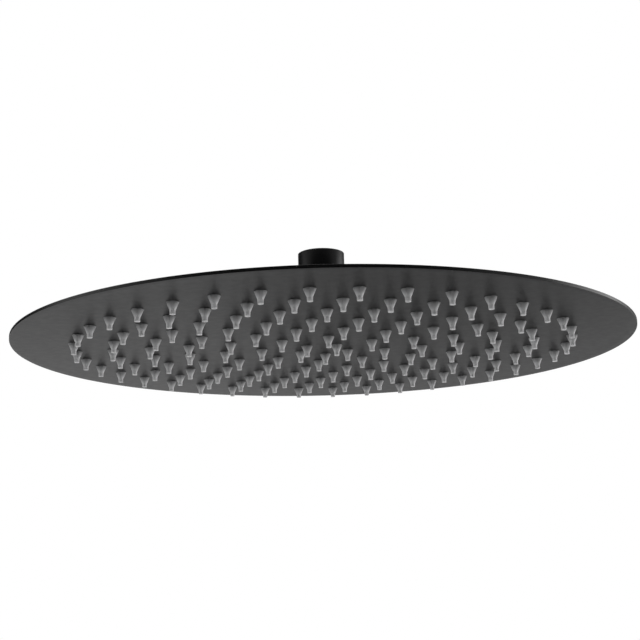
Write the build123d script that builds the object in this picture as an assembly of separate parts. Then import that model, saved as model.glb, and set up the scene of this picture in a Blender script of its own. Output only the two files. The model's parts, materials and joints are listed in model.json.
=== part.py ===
"""Round rain shower head: a thin double-sheet disc with silicone nozzles, on a ball connector.

Millimetres. The origin is the centre of the inlet's mouth, and +Z points up along the inlet.
"""

import os
from math import acos, asin, atan, cos, degrees, radians, sin, sqrt, tan

from build123d import *

# Head: two thin sheets, welded together round the rim
head_diameter = 300.0
sheet_thickness = 0.7
seam_width = 4.0
rim_chamfer = 0.25
face_crown = 1.3
back_rise = 4.7

# Nozzles: rings on a constant pitch, each ring starting on one common ray
ring_counts = (5, 8, 14, 20, 26, 32, 38)
first_ring_radius = 12.2
ring_pitch = 18.0
common_ray_angle = -130.2
nozzle_root_diameter = 5.4
nozzle_tip_diameter = 2.45
nozzle_cone_length = 3.5
nozzle_tip_length = 1.8
nozzle_sides = 8

# Connector: an inlet collar, a neck and a ball, turned in one piece
thread_diameter = 20.955
thread_depth = 9.0
collar_diameter = 23.0
collar_length = 14.0
collar_chamfer = 0.25
collar_taper_length = 2.0
collar_foot_diameter = 16.0
neck_diameter = 11.0
neck_gap = 3.0
ball_diameter = 21.0
water_bore_diameter = 8.0

# Washer and screen at the foot of the inlet thread
washer_diameter = 18.5
washer_bore_diameter = 10.0
washer_thickness = 2.5
screen_thickness = 0.4

# Ball joint: a floating seat below the ball and a friction ring above it, each touching it on a circle
tilt_limit = 12.0
seat_angle = 52.0
seat_band_angle = 26.0
seat_thickness = 1.6
ring_angle = 66.0
neck_swing_margin = 1.5

# Hub on the back plate
hub_bore_diameter = 12.0
hub_floor = 2.6
hub_rise = 1.5
hub_thread_diameter = 30.0
hub_flange_margin = 0.2
hub_flange_thickness = 2.4
hub_spigot_diameter = 28.0
hub_land_margin = 3.0

# Nut
nut_across_flats = 36.0
nut_skirt_length = 9.5
nut_lip_thickness = 2.6
nut_mouth_gap = 0.7
nut_chamfer = 1.0

# Clearances
bearing_clearance = 0.05
thread_clearance = 0.05
spigot_clearance = 0.05
washer_clearance = 0.1

# Radii that several pieces share
head_radius = head_diameter / 2
seam_radius = head_radius - seam_width
ball_radius = ball_diameter / 2
seat_inner_radius = ball_radius + bearing_clearance
seat_outer_radius = seat_inner_radius + seat_thickness
socket_radius = seat_outer_radius + bearing_clearance
recess_radius = washer_diameter / 2 + washer_clearance
hub_bore_radius = hub_bore_diameter / 2
nut_corner_radius = nut_across_flats / sqrt(3)
flange_radius = nut_corner_radius + hub_flange_margin
land_radius = flange_radius + hub_land_margin

# The neck leans furthest when the head is tilted both ways at once
full_tilt = acos(cos(radians(tilt_limit)) ** 2)
neck_swing_angle = asin(neck_diameter / ball_diameter) + full_tilt + radians(neck_swing_margin)


def socket_drop(radius):
    """How far below the ball's centre the hub's conical socket lies at a radius."""
    slope = radians(seat_angle)
    return (socket_radius - radius * sin(slope)) / cos(slope)


# Heights, from the inlet's mouth down to the face
recess_floor_z = -thread_depth - washer_thickness - screen_thickness
ring_top_rise = seat_inner_radius * cos(neck_swing_angle)
chamber_rise = ring_top_rise + bearing_clearance
nut_top_rise = chamber_rise + nut_lip_thickness
ball_z = -collar_length - neck_gap - nut_top_rise
hub_top_z = ball_z + hub_rise
land_z = ball_z - socket_drop(hub_bore_radius) - hub_floor
rim_top_z = land_z - back_rise
seam_z = rim_top_z - sheet_thickness
rim_z = seam_z - sheet_thickness

# The crowned face is part of a large sphere that leaves the seam at its inner edge
crown_radius = (seam_radius**2 + face_crown**2) / (2 * face_crown)
crown_centre_z = rim_z - face_crown + crown_radius

# The domed back is part of another, from the seam's inner edge to the flat land round the hub
dome_centre_z = (land_z + rim_top_z) / 2 - (seam_radius**2 - land_radius**2) / (2 * back_rise)
dome_radius = sqrt(seam_radius**2 + (rim_top_z - dome_centre_z) ** 2)


def turned(*outline):
    """Solid of revolution about Z from a closed outline of radius and height."""
    return revolve(Plane.XZ * make_face(Curve() + list(outline)), axis=Axis.Z)


def disc(radius, low_z, high_z):
    """Plain disc about Z."""
    return Pos(0, 0, low_z) * Cylinder(radius, high_z - low_z, align=(Align.CENTER, Align.CENTER, Align.MIN))


def sideways_sphere(radius, centre_z):
    """Sphere about a point on Z, with its poles to the sides."""
    return Pos(0, 0, centre_z) * Rot(90, 0, 0) * Sphere(radius)


def seam(outer_z, chamfer_z):
    """Flat ring of one sheet, from the joint between the sheets to its chamfered outer edge."""
    return turned(
        Polyline(
            (seam_radius, seam_z),
            (head_radius, seam_z),
            (head_radius, chamfer_z),
            (head_radius - rim_chamfer, outer_z),
            (seam_radius, outer_z),
            close=True,
        )
    )


def face_plate():
    """Lower sheet: a shallow crown inside a flat seam."""
    bowl = disc(seam_radius, rim_z - face_crown, seam_z) & sideways_sphere(crown_radius, crown_centre_z)
    hollow = sideways_sphere(crown_radius, crown_centre_z + sheet_thickness)
    return bowl - hollow + seam(rim_z, rim_z + rim_chamfer)


def back_plate():
    """Upper sheet: a shallow dome inside a flat seam, with a flat land and a hole for the hub."""

    def mound(drop):
        return disc(seam_radius, seam_z, land_z - drop) & sideways_sphere(dome_radius, dome_centre_z - drop)

    hole = disc(hub_spigot_diameter / 2 + spigot_clearance, seam_z, land_z)
    return mound(0) - mound(sheet_thickness) - hole + seam(rim_top_z, rim_top_z - rim_chamfer)


def nozzle():
    """One nozzle along +Z from its root: a taper, then a straight tip."""
    root = RegularPolygon(nozzle_root_diameter / 2, nozzle_sides, major_radius=False)
    draft = degrees(atan((nozzle_root_diameter - nozzle_tip_diameter) / 2 / nozzle_cone_length))
    taper = extrude(root, amount=nozzle_cone_length, taper=draft)
    tip = taper.faces().sort_by(Axis.Z)[-1]
    return taper + extrude(tip, amount=nozzle_tip_length)


def nozzle_ring(index):
    """One ring of separate nozzles, each square to the crowned face."""
    count = ring_counts[index]
    radius = first_ring_radius + index * ring_pitch
    lean = degrees(asin(radius / crown_radius))
    one = Pos(0, 0, crown_centre_z) * Rot(0, 180 - lean, 0) * Pos(0, 0, crown_radius) * nozzle()
    turns = [common_ray_angle + 360 * step / count for step in range(count)]
    return Compound(children=[Rot(0, 0, turn) * one for turn in turns])


def ball_connector():
    """Inlet collar, neck and ball in one piece, bored through for the water."""

    def rise_on_ball(radius):
        return sqrt(ball_radius**2 - radius**2)

    collar_radius = collar_diameter / 2
    thread_radius = thread_diameter / 2
    neck_radius = neck_diameter / 2
    bore_radius = water_bore_diameter / 2
    neck_foot_z = ball_z + rise_on_ball(neck_radius)
    bore_foot_z = ball_z - rise_on_ball(bore_radius)
    outside = Polyline(
        (thread_radius, 0),
        (collar_radius - collar_chamfer, 0),
        (collar_radius, -collar_chamfer),
        (collar_radius, collar_taper_length - collar_length),
        (collar_foot_diameter / 2, -collar_length),
        (neck_radius, -collar_length),
        (neck_radius, neck_foot_z),
    )
    ball_side = ThreePointArc((neck_radius, neck_foot_z), (ball_radius, ball_z), (bore_radius, bore_foot_z))
    inside = Polyline(
        (bore_radius, bore_foot_z),
        (bore_radius, recess_floor_z),
        (recess_radius, recess_floor_z),
        (recess_radius, -thread_depth),
        (thread_radius, -thread_depth),
        (thread_radius, 0),
    )
    return turned(outside, ball_side, inside)


def filter_screen():
    """Fine mesh disc on the recess floor, as a plain disc of its thickness."""
    return disc(washer_diameter / 2, recess_floor_z, recess_floor_z + screen_thickness)


def inlet_washer():
    """Flat rubber washer on the screen."""
    low_z = recess_floor_z + screen_thickness
    high_z = low_z + washer_thickness
    return disc(washer_diameter / 2, low_z, high_z) - disc(washer_bore_diameter / 2, low_z, high_z)


def lower_seat():
    """Floating seat: a cone that bears on the ball, inside a band of a sphere about its centre."""
    start = seat_angle - seat_band_angle / 2 - 90
    cone_reach = seat_inner_radius / cos(radians(seat_band_angle / 2))
    inner = CenterArc((0, ball_z), cone_reach, start, seat_band_angle)
    outer = CenterArc((0, ball_z), seat_outer_radius, start, seat_band_angle)
    return turned(outer, Polyline(outer @ 1, inner @ 1, inner @ 0, outer @ 0))


def friction_ring():
    """Ring in the nut's chamber, with a conical inside that bears on the ball."""
    low_rise = hub_rise + bearing_clearance
    outer_radius = socket_radius - bearing_clearance

    def inner_radius(rise):
        slope = radians(ring_angle)
        return (seat_inner_radius - rise * cos(slope)) / sin(slope)

    return turned(
        Polyline(
            (inner_radius(low_rise), ball_z + low_rise),
            (outer_radius, ball_z + low_rise),
            (outer_radius, ball_z + ring_top_rise),
            (inner_radius(ring_top_rise), ball_z + ring_top_rise),
            close=True,
        )
    )


def hub():
    """Boss welded to the back plate: spigot, flange, threaded wall and the ball's conical socket."""
    wall_radius = hub_thread_diameter / 2
    spigot_radius = hub_spigot_diameter / 2
    spigot_foot_z = land_z - sheet_thickness
    flange_top_z = land_z + hub_flange_thickness
    return turned(
        Polyline(
            (hub_bore_radius, spigot_foot_z),
            (hub_bore_radius, ball_z - socket_drop(hub_bore_radius)),
            (socket_radius, ball_z - socket_drop(socket_radius)),
            (socket_radius, hub_top_z),
            (wall_radius, hub_top_z),
            (wall_radius, flange_top_z),
            (flange_radius, flange_top_z),
            (flange_radius, land_z),
            (spigot_radius, land_z),
            (spigot_radius, spigot_foot_z),
            close=True,
        )
    )


def ball_nut():
    """Hexagon nut: a threaded skirt, a chamber for the friction ring and a flared mouth."""
    chamber_top_z = ball_z + chamber_rise
    top_z = ball_z + nut_top_rise
    foot_z = hub_top_z - nut_skirt_length
    skirt_radius = hub_thread_diameter / 2 + thread_clearance

    def mouth_radius(rise):
        """Room for the leaning neck at a height above the ball's centre."""
        return neck_diameter / 2 / cos(full_tilt) + rise * tan(full_tilt) + nut_mouth_gap

    hexagon = Pos(0, 0, foot_z) * RegularPolygon(nut_corner_radius, 6)
    block = extrude(hexagon, amount=top_z - foot_z)
    block = chamfer(block.faces().sort_by(Axis.Z)[-1].edges(), nut_chamfer)
    hollow = turned(
        Polyline(
            (0, foot_z),
            (skirt_radius, foot_z),
            (skirt_radius, hub_top_z),
            (socket_radius, hub_top_z),
            (socket_radius, chamber_top_z),
            (mouth_radius(chamber_rise), chamber_top_z),
            (mouth_radius(nut_top_rise), top_z),
            (0, top_z),
            close=True,
        )
    )
    return block - hollow


nodes = {
    "face_plate": face_plate(),
    "back_plate": back_plate(),
    "hub": hub(),
    "ball_nut": ball_nut(),
    "friction_ring": friction_ring(),
    "lower_seat": lower_seat(),
    "ball_connector": ball_connector(),
    "filter_screen": filter_screen(),
    "inlet_washer": inlet_washer(),
}
for index in range(len(ring_counts)):
    nodes[f"nozzle_ring_{index + 1}"] = nozzle_ring(index)

os.makedirs("parts", exist_ok=True)
for name, solid in nodes.items():
    export_step(solid, f"parts/{name}.step")
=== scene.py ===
"""Studio scene of the rain shower head, seen from below its near rim.

Metres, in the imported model's own frame: the origin is the inlet's mouth and +Z points up.
"""

import json
import math

import bmesh
import bpy
from mathutils import Matrix, Vector


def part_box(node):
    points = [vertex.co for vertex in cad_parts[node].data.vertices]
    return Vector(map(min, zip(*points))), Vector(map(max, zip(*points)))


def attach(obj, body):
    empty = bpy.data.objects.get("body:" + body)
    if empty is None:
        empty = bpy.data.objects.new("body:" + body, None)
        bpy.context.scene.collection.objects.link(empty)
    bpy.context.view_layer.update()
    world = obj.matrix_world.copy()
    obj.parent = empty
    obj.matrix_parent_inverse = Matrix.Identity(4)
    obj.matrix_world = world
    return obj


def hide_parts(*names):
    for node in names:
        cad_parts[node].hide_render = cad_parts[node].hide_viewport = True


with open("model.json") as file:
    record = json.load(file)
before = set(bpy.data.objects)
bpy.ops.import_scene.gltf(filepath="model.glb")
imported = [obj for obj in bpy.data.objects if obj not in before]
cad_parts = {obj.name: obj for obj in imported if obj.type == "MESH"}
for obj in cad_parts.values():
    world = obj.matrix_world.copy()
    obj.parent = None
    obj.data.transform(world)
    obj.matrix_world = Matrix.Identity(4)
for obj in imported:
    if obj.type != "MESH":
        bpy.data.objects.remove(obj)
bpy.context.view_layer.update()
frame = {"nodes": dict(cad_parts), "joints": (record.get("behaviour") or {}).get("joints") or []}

MM = 0.001
TURN = 2 * math.pi

# Camera of the photograph, fitted to the rim and the nozzle rings
photo_size = 640
focal_px = 1253.2
sensor_width = 36.0
camera_distance = 615.7 * MM
camera_drop = math.radians(11.387)
camera_pan = math.radians(-0.125)
camera_tilt = math.radians(12.620)
camera_roll = math.radians(-1.462)

# Studio: each softbox with its place, width, height and brightness, and each card with the two ends
# of its foot, its lowest and highest level, its grey and whether it also dims the light of the room
floor_drop = 1.2
floor_radius = 9.0
ambient = 0.8
softboxes = (
    ("right_softbox", (1.75, 0.45, -0.1), 1.2, 1.4, 2.8),
    ("left_softbox", (-1.9, -0.2, -0.1), 0.9, 1.4, 1.0),
    ("overhead", (0, 0.3, 2.2), 1.6, 1.6, 1.5),
)
cards = (
    ("front_card", (-1.5, -1.2), (1.5, -1.2), (-0.75, 0.6), 0.025, True),
    ("left_card", (-2.2, 0.7), (-0.7, 2.0), (-0.1, 0.9), 0.025, True),
    ("right_card", (0.4, 2.2), (1.6, 1.5), (-0.05, 0.9), 0.25, True),
    ("low_card", (-0.1, 1.8), (0.7, 1.8), (-1.18, -0.6), 0.0, False),
)
felt_mottle = 0.1

# Materials: the middle of a noise's range, and how much coarser mottle and gloss are than the bump
noise_low = 0.35
noise_high = 0.65
mottle_coarseness = 40
mottle_detail = 3.0
gloss_coarseness = 10
bump_depth = 0.02 * MM

# Sheets: the outer edge's colour and roughness are shares of those elsewhere, its darker colour
# being painted shade
sheet_thickness = 0.7 * MM
seam_width = 4.0 * MM
rim_rounding = 0.15 * MM
seam_rounding = 0.05 * MM
edge_painted_shade = 0.35
edge_smoothness = 0.72
hub_hole_radius = 14.05 * MM

# Nozzles: each painted shade step is a height over the sheet in millimetres, and the grey there
ring_counts = (5, 8, 14, 20, 26, 32, 38)
first_ring_radius = 12.2 * MM
ring_pitch = 18.0 * MM
common_ray = math.radians(-130.2)
nozzle_length = 5.3 * MM
nozzle_cone_length = 3.5 * MM
nozzle_root_radius = 2.7 * MM
nozzle_tip_radius = 1.225 * MM
nozzle_bore_radius = 0.55 * MM
nozzle_bore_depth = 2.5 * MM
nozzle_lip = 0.15 * MM
nozzle_lip_rounding = nozzle_lip / 2
nozzle_waist_rounding = 0.4 * MM
nozzle_tip_rounding = 2 / 3 * nozzle_lip
scatter_depth = 5.0 * MM
# The silicone's grey along a nozzle, with painted shade darker towards its root and at its end
nozzle_grey_and_painted_shade = ((0.0, 0.2), (1.6, 0.34), (2.4, 0.45), (3.6, 0.64), (4.2, 0.62), (4.8, 0.42))

# Ball connector, washer and screen
thread_radius = 10.4775 * MM
thread_depth = 9.0 * MM
thread_pitch = 1.814 * MM
thread_ridge = 1.0 * MM
thread_lead = 0.5 * MM
collar_radius = 11.5 * MM
collar_length = 14.0 * MM
collar_taper_length = 2.0 * MM
collar_foot_radius = 8.0 * MM
collar_rounding = 0.6 * MM
mouth_rounding = 0.25 * MM
neck_radius = 5.5 * MM
ball_radius = 10.5 * MM
water_bore_radius = 4.0 * MM
recess_radius = 9.35 * MM
washer_bore_radius = 5.0 * MM
washer_rounding = 0.3 * MM
screen_border = 1.2 * MM
wire_radius = 0.1 * MM
wire_pitch = 0.8 * MM

# Hub and nut
hub_wall_radius = 15.0 * MM
hub_bore_radius = 6.0 * MM
hub_spigot_radius = 14.0 * MM
hub_flange_thickness = 2.4 * MM
hub_land_margin = 3.0 * MM
hub_rounding = 0.4 * MM
hub_thread_pitch = 1.5 * MM
hub_thread_depth = 0.7 * MM
socket_radius = 12.2 * MM
socket_slope = math.radians(52.0)
nut_sides = 6
nut_corner_trim = 0.3 * MM
nut_chamfer_drop = 1.3 * MM
nut_lip_thickness = 2.6 * MM
nut_mouth_radius = 8.53 * MM
nut_flare_radius = 9.32 * MM
nut_skirt_radius = 15.05 * MM

# A thread's profile: how steep its flanks are, and the share that its flat root takes from them
thread_steepness = 1.7
thread_root_flat = 0.35

# Fineness of the meshes
disc_segments = 256
turned_segments = 96
nozzle_segments = 24
wire_segments = 6
corner_steps = 4
nozzle_corner_steps = 3
crown_levels = 25
dome_levels = 21
ball_levels = 41
nut_chamfer_levels = 7
thread_levels_a_turn = 10
wire_points_a_pitch = 4
merge_distance = 0.0002 * MM
sharp_angle = math.radians(35)

# What the frame gives
face_low, face_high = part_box("face_plate")
nut_low, nut_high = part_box("ball_nut")
hub_low, hub_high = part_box("hub")
washer_low, washer_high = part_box("inlet_washer")
screen_low, screen_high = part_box("filter_screen")
ball_z = frame["joints"][0]["pos_m"][2]
head_radius = face_high.x
seam_radius = head_radius - seam_width
seam_z = face_high.z
rim_z = seam_z - sheet_thickness
rim_top_z = seam_z + sheet_thickness
land_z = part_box("back_plate")[1].z
land_radius = hub_high.x + hub_land_margin

# The crowned face and the domed back are parts of large spheres
face_crown = rim_z - face_low.z
crown_radius = (seam_radius**2 + face_crown**2) / (2 * face_crown)
crown_centre_z = face_low.z + crown_radius
back_rise = land_z - rim_top_z
dome_centre_z = (land_z + rim_top_z) / 2 - (seam_radius**2 - land_radius**2) / (2 * back_rise)
dome_radius = math.hypot(seam_radius, rim_top_z - dome_centre_z)


def even(low, high, count):
    """Evenly spaced values, both ends among them."""
    return [low + (high - low) * step / (count - 1) for step in range(count)]


def around(segments):
    """Evenly spaced angles of one turn."""
    return [TURN * step / segments for step in range(segments)]


def softened(corners, steps=corner_steps):
    """Closed outline through corners of (radius, height, rounding)."""
    outline = []
    for index, (radius, height, rounding) in enumerate(corners):
        corner = Vector((radius, height))
        before = Vector(corners[index - 1][:2])
        after = Vector(corners[(index + 1) % len(corners)][:2])
        start = corner + (before - corner).normalized() * rounding
        end = corner + (after - corner).normalized() * rounding
        for share in even(0, 1, steps + 1) if rounding else [0]:
            outline.append(start.lerp(corner, share).lerp(corner.lerp(end, share), share))
    return outline


def circles(outline, segments=turned_segments):
    """Level circles of points, one for each radius and height of an outline."""
    angles = around(segments)
    return [[Vector((r * math.cos(a), r * math.sin(a), z)) for a in angles] for r, z in outline]


def skin(loops, closed=True):
    """Vertices and faces of a surface laid over loops of equally many points."""
    count = len(loops[0])
    vertices = [point for loop in loops for point in loop]
    faces = []
    for level in range(len(loops) if closed else len(loops) - 1):
        low = level * count
        high = (level + 1) % len(loops) * count
        for step in range(count):
            beside = (step + 1) % count
            faces.append((low + step, low + beside, high + beside, high + step))
    return vertices, faces


def piece(name, shapes, material, body, node):
    """Object made of one or more skins, which rides on a body and stands for a CAD node."""
    vertices = []
    faces = []
    for shape_vertices, shape_faces in shapes:
        faces += [tuple(corner + len(vertices) for corner in face) for face in shape_faces]
        vertices += shape_vertices
    mesh = bpy.data.meshes.new(name)
    mesh.from_pydata(vertices, [], faces)
    edit = bmesh.new()
    edit.from_mesh(mesh)
    bmesh.ops.remove_doubles(edit, verts=edit.verts, dist=merge_distance)
    bmesh.ops.recalc_face_normals(edit, faces=edit.faces)
    edit.to_mesh(mesh)
    edit.free()
    mesh.shade_smooth()
    mesh.set_sharp_from_angle(angle=sharp_angle)
    mesh.materials.append(material)
    made = bpy.data.objects.new(name, mesh)
    bpy.context.scene.collection.objects.link(made)
    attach(made, body)
    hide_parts(node)


def noise(tree, scale, detail=2.0):
    """Noise in the object's own coordinates, about so many cycles a metre."""
    place = tree.nodes.new("ShaderNodeTexCoord")
    texture = tree.nodes.new("ShaderNodeTexNoise")
    texture.inputs["Scale"].default_value = scale
    texture.inputs["Detail"].default_value = detail
    tree.links.new(place.outputs["Object"], texture.inputs["Vector"])
    return texture.outputs["Fac"]


def mapped(tree, value, start, end, low, high):
    """Number that goes from low to high while a value goes from start to end."""
    node = tree.nodes.new("ShaderNodeMapRange")
    node.inputs["From Min"].default_value = start
    node.inputs["From Max"].default_value = end
    node.inputs["To Min"].default_value = low
    node.inputs["To Max"].default_value = high
    tree.links.new(value, node.inputs["Value"])
    return node.outputs["Result"]


def shade(tree, value, dark, pale):
    """Colour between two shades, by the middle of a noise's range."""
    node = tree.nodes.new("ShaderNodeValToRGB")
    low, high = node.color_ramp.elements
    low.position = noise_low
    low.color = (*dark, 1)
    high.position = noise_high
    high.color = (*pale, 1)
    tree.links.new(value, node.inputs["Fac"])
    return node.outputs["Color"]


def surface(name, dark, pale, roughness, fineness, relief, specular=0.5, metallic=0.0):
    """Mottled colour, uneven gloss and a fine bump, finest at the given cycles a metre."""
    material = bpy.data.materials.new(name)
    material.use_nodes = True
    tree = material.node_tree
    shader = tree.nodes["Principled BSDF"]
    mottle = noise(tree, fineness / mottle_coarseness, mottle_detail)
    tree.links.new(shade(tree, mottle, dark, pale), shader.inputs["Base Color"])
    patches = noise(tree, fineness / gloss_coarseness)
    gloss = mapped(tree, patches, noise_low, noise_high, *roughness)
    tree.links.new(gloss, shader.inputs["Roughness"])
    shader.inputs["Specular IOR Level"].default_value = specular
    shader.inputs["Metallic"].default_value = metallic
    bump = tree.nodes.new("ShaderNodeBump")
    bump.inputs["Strength"].default_value = relief
    bump.inputs["Distance"].default_value = bump_depth
    tree.links.new(noise(tree, fineness), bump.inputs["Height"])
    tree.links.new(bump.outputs["Normal"], shader.inputs["Normal"])
    return material


def scaled(tree, socket, factor):
    """Puts a factor between a shader's input and what feeds it."""
    product = tree.nodes.new("ShaderNodeVectorMath")
    product.operation = "MULTIPLY"
    tree.links.new(socket.links[0].from_socket, product.inputs[0])
    tree.links.new(factor, product.inputs[1])
    tree.links.new(product.outputs["Vector"], socket)


def coated_sheet():
    """Satin black coat, smoother on the sheet's rounded outer edge and darker there by painted
    shade.
    """
    material = surface(
        "sheet_black",
        dark=(0.006, 0.006, 0.0063),
        pale=(0.008, 0.008, 0.0084),
        roughness=(0.39, 0.42),
        fineness=3000.0,
        relief=0.03,
        specular=0.185,
    )
    tree = material.node_tree
    shader = tree.nodes["Principled BSDF"]
    place = tree.nodes.new("ShaderNodeTexCoord")
    across = tree.nodes.new("ShaderNodeVectorMath")
    across.operation = "MULTIPLY"
    across.inputs[1].default_value = (1, 1, 0)
    tree.links.new(place.outputs["Object"], across.inputs[0])
    reach = tree.nodes.new("ShaderNodeVectorMath")
    reach.operation = "LENGTH"
    tree.links.new(across.outputs["Vector"], reach.inputs[0])
    edge_start = head_radius - 2 * rim_rounding
    edge_end = head_radius - rim_rounding / 2
    # The edge's darker colour is painted shade; its smoother gloss is the coat's own
    for name, at_edge in (("Base Color", edge_painted_shade), ("Roughness", edge_smoothness)):
        factor = mapped(tree, reach.outputs["Value"], edge_start, edge_end, 1.0, at_edge)
        scaled(tree, shader.inputs[name], factor)
    return material


def moulded_silicone():
    """Grey silicone that lets light through, with painted shade darker towards its root and at its
    end.
    """
    material = surface(
        "silicone",
        dark=(0.91, 0.91, 0.92),
        pale=(0.99, 0.99, 1.0),
        roughness=(0.45, 0.6),
        fineness=3000.0,
        relief=0.15,
        specular=0.4,
    )
    tree = material.node_tree
    shader = tree.nodes["Principled BSDF"]
    shader.inputs["Subsurface Weight"].default_value = 1.0
    shader.inputs["Subsurface Radius"].default_value = (1, 1, 1)
    shader.inputs["Subsurface Scale"].default_value = scatter_depth
    place = tree.nodes.new("ShaderNodeTexCoord")
    reach = tree.nodes.new("ShaderNodeVectorMath")
    reach.operation = "DISTANCE"
    reach.inputs[1].default_value = (0, 0, crown_centre_z)
    tree.links.new(place.outputs["Object"], reach.inputs[0])
    tip_reach = crown_radius + nozzle_length
    along = mapped(tree, reach.outputs["Value"], crown_radius, tip_reach, 0.0, 1.0)
    # Painted shade: the silicone's grey darkens towards the root and at the end of each nozzle
    grey_and_painted_shade_ramp = tree.nodes.new("ShaderNodeValToRGB")
    stops = grey_and_painted_shade_ramp.color_ramp.elements
    while len(stops) < len(nozzle_grey_and_painted_shade):
        stops.new(1.0)
    for stop, (height, grey) in zip(stops, nozzle_grey_and_painted_shade):
        stop.position = height * MM / nozzle_length
        stop.color = (grey, grey, grey, 1)
    tree.links.new(along, grey_and_painted_shade_ramp.inputs["Fac"])
    scaled(tree, shader.inputs["Base Color"], grey_and_painted_shade_ramp.outputs["Color"])
    return material


sheet_black = coated_sheet()
fitting_black = surface(
    "fitting_black",
    dark=(0.0035, 0.0035, 0.0037),
    pale=(0.005, 0.005, 0.0052),
    roughness=(0.28, 0.33),
    fineness=3000.0,
    relief=0.05,
    specular=0.12,
)
silicone = moulded_silicone()
bearing_plastic = surface(
    "bearing_plastic",
    dark=(0.72, 0.71, 0.67),
    pale=(0.8, 0.79, 0.75),
    roughness=(0.35, 0.45),
    fineness=2500.0,
    relief=0.1,
)
washer_rubber = surface(
    "washer_rubber",
    dark=(0.022, 0.022, 0.022),
    pale=(0.034, 0.034, 0.033),
    roughness=(0.6, 0.75),
    fineness=2500.0,
    relief=0.3,
)
steel_wire = surface(
    "steel_wire",
    dark=(0.42, 0.42, 0.41),
    pale=(0.6, 0.6, 0.58),
    roughness=(0.22, 0.36),
    fineness=5000.0,
    relief=0.2,
    metallic=1.0,
)


def make_face():
    """Lower sheet: the crown inside the seam, with a rounded outer edge."""

    def crown(lift):
        radii = even(0, seam_radius, crown_levels)
        return [(r, crown_centre_z + lift - math.sqrt(crown_radius**2 - r**2), 0) for r in radii]

    edge = [(head_radius, rim_z, rim_rounding), (head_radius, seam_z, seam_rounding)]
    outline = softened(crown(0) + edge + crown(sheet_thickness)[::-1])
    shape = skin(circles(outline, disc_segments))
    piece("lower_sheet", [shape], sheet_black, "head", "face_plate")


def make_back():
    """Upper sheet: the seam, the dome and the flat land round the hub."""

    def dome(drop):
        radii = even(land_radius, seam_radius, dome_levels)
        return [(r, dome_centre_z - drop + math.sqrt(dome_radius**2 - r**2), 0) for r in radii]

    edge = [(head_radius, seam_z, seam_rounding), (head_radius, rim_top_z, rim_rounding)]
    hole = [(hub_hole_radius, land_z, 0), (hub_hole_radius, land_z - sheet_thickness, 0)]
    outline = softened(dome(sheet_thickness) + edge + dome(0)[::-1] + hole)
    shape = skin(circles(outline, disc_segments))
    piece("upper_sheet", [shape], sheet_black, "head", "back_plate")


def nozzle_loops():
    """One nozzle along +Z from its root: lip, taper, slim tip with a soft end, and outlet."""
    bore_end = nozzle_length - nozzle_bore_depth
    outline = softened(
        [
            (0, 0, 0),
            (nozzle_root_radius, 0, 0),
            (nozzle_root_radius, nozzle_lip, nozzle_lip_rounding),
            (nozzle_tip_radius, nozzle_cone_length, nozzle_waist_rounding),
            (nozzle_tip_radius, nozzle_length, nozzle_tip_rounding),
            (nozzle_bore_radius, nozzle_length, nozzle_lip_rounding),
            (nozzle_bore_radius, bore_end, 0),
            (0, bore_end, 0),
        ],
        steps=nozzle_corner_steps,
    )
    return circles(outline, nozzle_segments)


def make_nozzles(index):
    """One ring of nozzles, each square to the crowned face."""
    lean = math.asin((first_ring_radius + index * ring_pitch) / crown_radius)
    centre = Matrix.Translation((0, 0, crown_centre_z))
    tilt = Matrix.Rotation(math.pi - lean, 4, "Y")
    stand = centre @ tilt @ Matrix.Translation((0, 0, crown_radius))
    shapes = []
    for turn in around(ring_counts[index]):
        place = Matrix.Rotation(common_ray + turn, 4, "Z") @ stand
        loops = [[place @ point for point in loop] for loop in nozzle_loops()]
        shapes.append(skin(loops, closed=False))
    number = index + 1
    piece(f"nozzles_{number}", shapes, silicone, "head", f"nozzle_ring_{number}")


def thread(root_radius, ridge, pitch, low_z, high_z):
    """Loops of a helical thread that rises from its root radius and fades out at both ends."""
    levels = round((high_z - low_z) / pitch * thread_levels_a_turn)
    loops = []
    for height in even(low_z, high_z, levels):
        fade = min(1.0, (height - low_z) / pitch, (high_z - height) / pitch)
        loop = []
        for angle in around(turned_segments):
            flank = abs(2 * ((height / pitch - angle / TURN) % 1) - 1)
            rise = min(1.0, max(0.0, thread_steepness * flank - thread_root_flat))
            reach = root_radius + ridge * fade * rise
            loop.append(Vector((reach * math.cos(angle), reach * math.sin(angle), height)))
        loops.append(loop)
    return loops


def make_connector():
    """Ball, neck and collar with its inlet thread, in one turned piece."""
    neck_angle = math.acos(neck_radius / ball_radius)
    bore_angle = -math.acos(water_bore_radius / ball_radius)
    angles = even(bore_angle, neck_angle, ball_levels)
    ball = [(ball_radius * math.cos(a), ball_z + ball_radius * math.sin(a)) for a in angles]
    collar = softened(
        [
            (neck_radius, -collar_length, collar_rounding),
            (collar_foot_radius, -collar_length, collar_rounding),
            (collar_radius, collar_taper_length - collar_length, collar_rounding),
            (collar_radius, 0, mouth_rounding),
            (thread_radius, 0, 0),
        ]
    )
    ridges = thread(thread_radius, -thread_ridge, thread_pitch, -thread_depth, -thread_lead)
    floor_z = screen_low.z
    inside = [
        (recess_radius, -thread_depth),
        (recess_radius, floor_z),
        (water_bore_radius, floor_z),
    ]
    shape = skin(circles(ball + collar) + ridges[::-1] + circles(inside))
    piece("inlet_connector", [shape], fitting_black, "inlet", "ball_connector")


def make_washer():
    """Flat washer with soft edges."""
    corners = [
        (washer_bore_radius, washer_low.z, washer_rounding),
        (washer_high.x, washer_low.z, washer_rounding),
        (washer_high.x, washer_high.z, washer_rounding),
        (washer_bore_radius, washer_high.z, washer_rounding),
    ]
    shape = skin(circles(softened(corners)))
    piece("washer", [shape], washer_rubber, "inlet", "inlet_washer")


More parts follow.
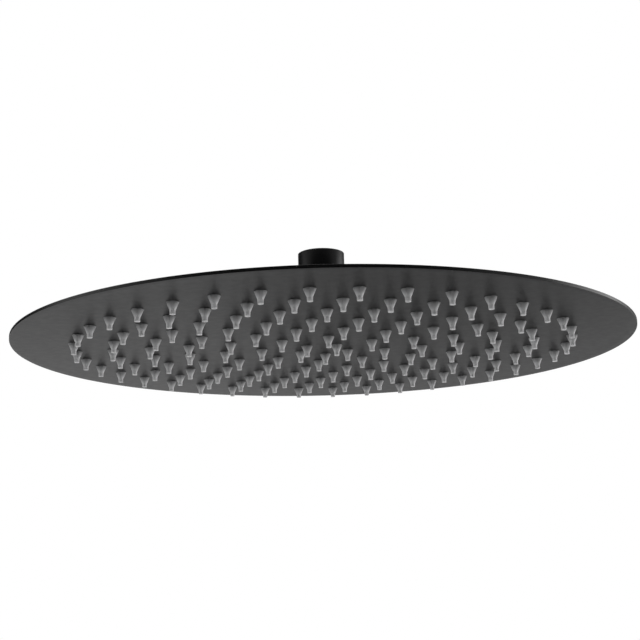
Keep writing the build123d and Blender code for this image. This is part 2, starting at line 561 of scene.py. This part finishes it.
def make_screen():
    """Woven wire inside a flat border."""
    rim_radius = screen_high.x
    mesh_radius = rim_radius - screen_border
    middle_z = (screen_low.z + screen_high.z) / 2
    corners = [
        (mesh_radius, screen_low.z, wire_radius),
        (rim_radius, screen_low.z, wire_radius),
        (rim_radius, screen_high.z, wire_radius),
        (mesh_radius, screen_high.z, wire_radius),
    ]
    shapes = [skin(circles(softened(corners)))]
    reach = math.floor(mesh_radius / wire_pitch)
    for lane in range(-reach, reach + 1):
        side = lane * wire_pitch
        half = math.sqrt((mesh_radius + screen_border / 2) ** 2 - side**2)
        runs = even(-half, half, round(wire_points_a_pitch * 2 * half / wire_pitch))
        radii = [0.0] + [wire_radius] * len(runs) + [0.0]
        for along in (0, 1):
            loops = []
            for run, radius in zip([-half] + runs + [half], radii):
                swing = wire_radius * math.cos(math.pi * run / wire_pitch)
                wire_z = middle_z + (-1) ** (lane + along) * swing
                loop = []
                for angle in around(wire_segments):
                    across = side + radius * math.cos(angle)
                    height = wire_z + radius * math.sin(angle)
                    loop.append(Vector((across, run, height) if along else (run, across, height)))
                loops.append(loop)
            shapes.append(skin(loops, closed=False))
    piece("woven_screen", shapes, steel_wire, "inlet", "filter_screen")


def make_hub():
    """Boss on the back sheet: conical socket, threaded wall, flange and spigot."""

    def socket_z(radius):
        return ball_z - (socket_radius - radius * math.sin(socket_slope)) / math.cos(socket_slope)

    root_radius = hub_wall_radius - hub_thread_depth
    flange_radius = hub_high.x
    flange_top_z = land_z + hub_flange_thickness
    inside = [
        (hub_bore_radius, hub_low.z),
        (hub_bore_radius, socket_z(hub_bore_radius)),
        (socket_radius, socket_z(socket_radius)),
        (socket_radius, hub_high.z),
        (root_radius, hub_high.z),
    ]
    ridges = thread(root_radius, hub_thread_depth, hub_thread_pitch, flange_top_z, hub_high.z)
    foot = softened(
        [
            (root_radius, flange_top_z, 0),
            (flange_radius, flange_top_z, hub_rounding),
            (flange_radius, land_z, hub_rounding),
            (hub_spigot_radius, land_z, 0),
            (hub_spigot_radius, hub_low.z, 0),
        ]
    )
    shape = skin(circles(inside) + ridges[::-1] + circles(foot))
    piece("threaded_hub", [shape], fitting_black, "head", "hub")


def make_nut():
    """Hexagon nut with turned chamfers, a skirt round the hub and a flared mouth."""
    flat_radius = nut_high.y
    corner_radius = nut_high.x - nut_corner_trim

    def hexagon(trim_radius, height):
        loop = []
        for angle in around(turned_segments):
            off_flat = angle % (TURN / nut_sides) - TURN / nut_sides / 2
            reach = min(flat_radius / math.cos(off_flat), trim_radius)
            loop.append(Vector((reach * math.cos(angle), reach * math.sin(angle), height)))
        return loop

    trims = even(flat_radius - nut_corner_trim, corner_radius, nut_chamfer_levels)
    drops = even(0, nut_chamfer_drop, nut_chamfer_levels)
    foot = [hexagon(trim, nut_low.z + drop) for trim, drop in zip(trims, drops)]
    top = [hexagon(trim, nut_high.z - drop) for trim, drop in zip(trims, drops)]
    chamber_z = nut_high.z - nut_lip_thickness
    inside = [
        (nut_flare_radius, nut_high.z),
        (nut_mouth_radius, chamber_z),
        (socket_radius, chamber_z),
        (socket_radius, hub_high.z),
        (nut_skirt_radius, hub_high.z),
        (nut_skirt_radius, nut_low.z),
    ]
    shape = skin(foot + top[::-1] + circles(inside))
    piece("swivel_nut", [shape], fitting_black, "head", "ball_nut")


def stage_sheet(name, corners, material):
    """Flat stage surface that isn't part of the object."""
    mesh = bpy.data.meshes.new(name)
    mesh.from_pydata(corners, [], [tuple(range(len(corners)))])
    mesh.materials.append(material)
    sheet = bpy.data.objects.new(name, mesh)
    bpy.context.scene.collection.objects.link(sheet)
    return sheet


def make_stage():
    """Pale floor, and cards hidden from the camera that shape what the coat reflects."""
    floor_pale = surface(
        "floor_pale",
        dark=(0.795, 0.795, 0.795),
        pale=(0.805, 0.805, 0.805),
        roughness=(0.7, 0.8),
        fineness=400.0,
        relief=0.0,
        specular=0.1,
    )
    stage_sheet("floor", circles([(floor_radius, -floor_drop)])[0], floor_pale)
    for name, start, end, (low, high), grey, dims in cards:
        felt = surface(
            name,
            dark=((1 - felt_mottle) * grey,) * 3,
            pale=((1 + felt_mottle) * grey,) * 3,
            roughness=(0.8, 0.9),
            fineness=400.0,
            relief=0.0,
            specular=0.0,
        )
        card = stage_sheet(name, [(*start, low), (*end, low), (*end, high), (*start, high)], felt)
        card.visible_camera = False
        card.visible_diffuse = dims
        card.visible_shadow = dims


def make_world():
    """White to the camera, to reflections and through glass, and plain soft light elsewhere."""
    world = bpy.data.worlds.new("studio")
    world.use_nodes = True
    tree = world.node_tree
    soft = tree.nodes["Background"]
    soft.inputs["Strength"].default_value = ambient
    soft.inputs["Color"].default_value = (1, 1, 1, 1)
    white = tree.nodes.new("ShaderNodeBackground")
    white.inputs["Color"].default_value = (1, 1, 1, 1)
    path = tree.nodes.new("ShaderNodeLightPath")
    shown = path.outputs["Is Camera Ray"]
    for kind in ("Is Glossy Ray", "Is Transmission Ray"):
        either = tree.nodes.new("ShaderNodeMath")
        either.operation = "MAXIMUM"
        tree.links.new(shown, either.inputs[0])
        tree.links.new(path.outputs[kind], either.inputs[1])
        shown = either.outputs["Value"]
    choice = tree.nodes.new("ShaderNodeMixShader")
    tree.links.new(shown, choice.inputs["Fac"])
    tree.links.new(soft.outputs["Background"], choice.inputs[1])
    tree.links.new(white.outputs["Background"], choice.inputs[2])
    tree.links.new(choice.outputs["Shader"], tree.nodes["World Output"].inputs["Surface"])
    bpy.context.scene.world = world


def make_softbox(name, place, width, height, brightness):
    """Area lamp of an even brightness, turned to the middle of the disc."""
    lamp = bpy.data.lights.new(name, "AREA")
    lamp.shape = "RECTANGLE"
    lamp.size = width
    lamp.size_y = height
    lamp.energy = brightness * math.pi * width * height
    box = bpy.data.objects.new(name, lamp)
    box.location = place
    aim = Vector((0, 0, rim_z)) - Vector(place)
    box.rotation_euler = aim.to_track_quat("-Z", "Y").to_euler()
    bpy.context.scene.collection.objects.link(box)


def make_camera():
    """Camera below the near rim, looking up past the nozzles to the inlet."""
    camera = bpy.data.cameras.new("camera")
    camera.sensor_width = sensor_width
    camera.lens = focal_px / photo_size * sensor_width
    forward = Vector(
        (
            math.sin(camera_pan) * math.cos(camera_tilt),
            math.cos(camera_pan) * math.cos(camera_tilt),
            math.sin(camera_tilt),
        )
    )
    level = Vector((math.cos(camera_pan), -math.sin(camera_pan), 0))
    rise = level.cross(forward)
    right = level * math.cos(camera_roll) + rise * math.sin(camera_roll)
    up = rise * math.cos(camera_roll) - level * math.sin(camera_roll)
    turn = Matrix((right, up, -forward)).transposed().to_4x4()
    drop = Vector((0, -math.cos(camera_drop), -math.sin(camera_drop))) * camera_distance
    holder = bpy.data.objects.new("camera", camera)
    holder.matrix_world = Matrix.Translation(Vector((0, 0, rim_z)) + drop) @ turn
    bpy.context.scene.collection.objects.link(holder)
    bpy.context.scene.camera = holder


make_face()
make_back()
for ring in range(len(ring_counts)):
    make_nozzles(ring)
make_connector()
make_washer()
make_screen()
make_hub()
make_nut()
for kept in ("friction_ring", "lower_seat"):
    frame["nodes"][kept].data.materials.clear()
    frame["nodes"][kept].data.materials.append(bearing_plastic)

make_stage()
make_world()
for softbox in softboxes:
    make_softbox(*softbox)
make_camera()
bpy.context.scene.view_settings.view_transform = "Standard"
